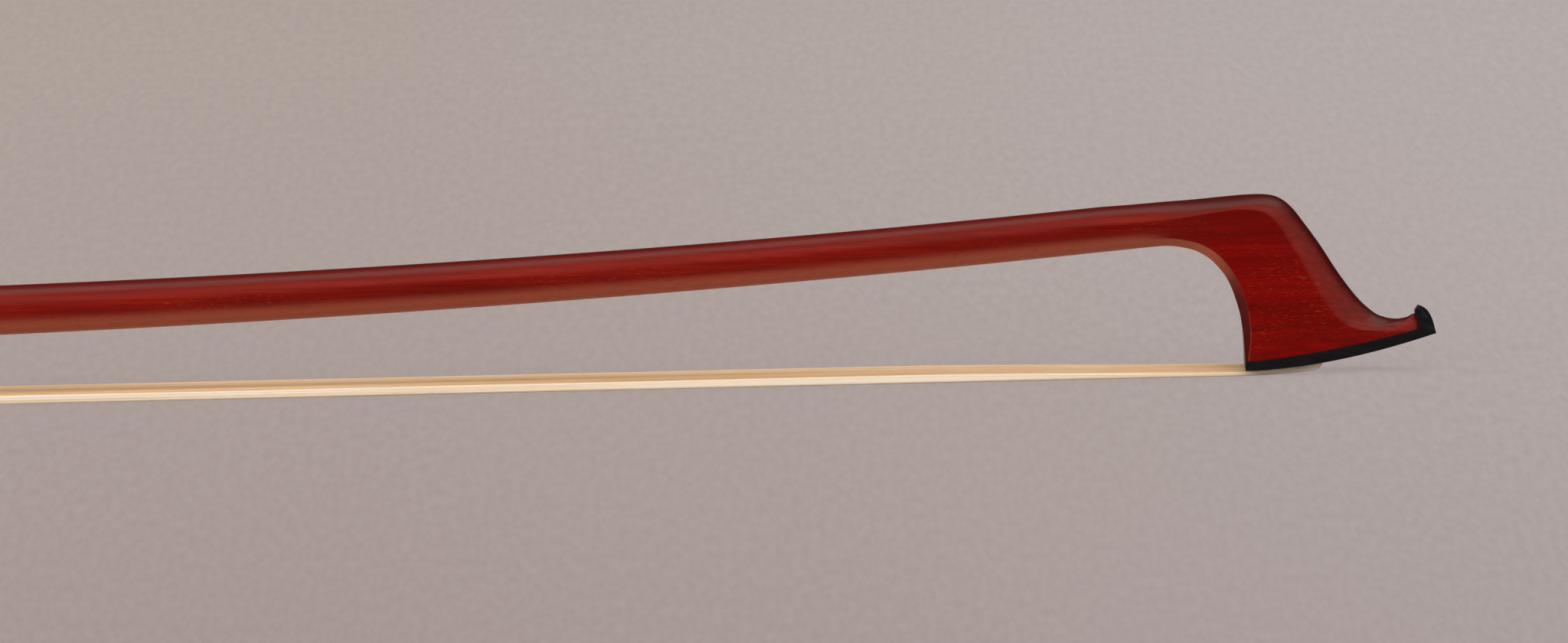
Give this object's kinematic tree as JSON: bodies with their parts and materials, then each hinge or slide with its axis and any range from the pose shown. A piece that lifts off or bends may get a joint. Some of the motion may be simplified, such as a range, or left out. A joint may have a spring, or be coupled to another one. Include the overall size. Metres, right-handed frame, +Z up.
{
  "type": "cello bow",
  "caption": "Cambered wooden cello bow with a hatchet head, black face plate, ribbon of hair, ebony frog and a screw button that tightens the hair.",
  "frame": {"origin": "on the surface that the bow stands on, hair side down, under the middle of its length and width", "axes": "+X along the bow towards the head, +Y across it, +Z up from the hair to the stick"},
  "size_m": [0.7114, 0.014, 0.0339],
  "materials": {
    "red_wood": "oiled and polished dark red wood",
    "ebony": "polished ebony",
    "hair": "white horsehair",
    "silver": "polished silver",
    "pearl": "polished mother of pearl",
    "pale_wood": "bare pale wood",
    "brass": "satin",
    "steel": "satin",
    "leather": "smooth dark leather",
    "silk": "silk thread, close wound"
  },
  "bodies": {
    "stick": {"stick": "red_wood", "thumb_leather": "leather", "lapping_base": "silk", "lapping_tinsel": "silver", "hair": "hair", "head_plate": "ebony", "head_plug": "pale_wood", "hair_head_knot": "hair", "hair_head_bend": "hair"},
    "frog": {"frog_body": "ebony", "ferrule": "silver", "spread_wedge": "pale_wood", "frog_plug": "pale_wood", "hair_frog_knot": "hair", "hair_frog_bend": "hair", "slide_pearl": "pearl", "slide_base": "ebony", "heel_plate": "silver", "heel_pin_1": "silver", "heel_pin_2": "silver", "heel_pin_3": "silver", "heel_pin_4": "silver", "eye_ring_left": "silver", "eye_ring_right": "silver", "eye_pearl_left": "pearl", "eye_pearl_right": "pearl", "underslide": "silver", "underslide_pin_1": "silver", "underslide_pin_2": "silver", "eyelet": "brass"},
    "button": {"adjusting_screw": "steel", "button_core": "ebony", "button_front_collar": "silver", "button_end_collar": "silver", "front_collar_pin_top": "silver", "front_collar_pin_bottom": "silver", "end_collar_pin_top": "silver", "end_collar_pin_bottom": "silver", "button_pearl": "pearl"}
  },
  "joints": [
    {"name": "button_turn", "type": "hinge", "parent": "stick", "child": "button", "pos_m": [-0.28492, 0, 0.02535], "axis": [0.9988, 0, -0.0499], "range_deg": [-2880, 720]},
    {"name": "frog_slide", "type": "slide", "parent": "stick", "child": "frog", "axis": [-0.9988, 0, 0.0499], "range_m": [-0.0056, 0.0014], "deforming": ["hair"]}
  ],
  "couplings": [
    {"joint": "button_turn", "follows": "frog_slide", "rad_per_m": 8975}
  ]
}
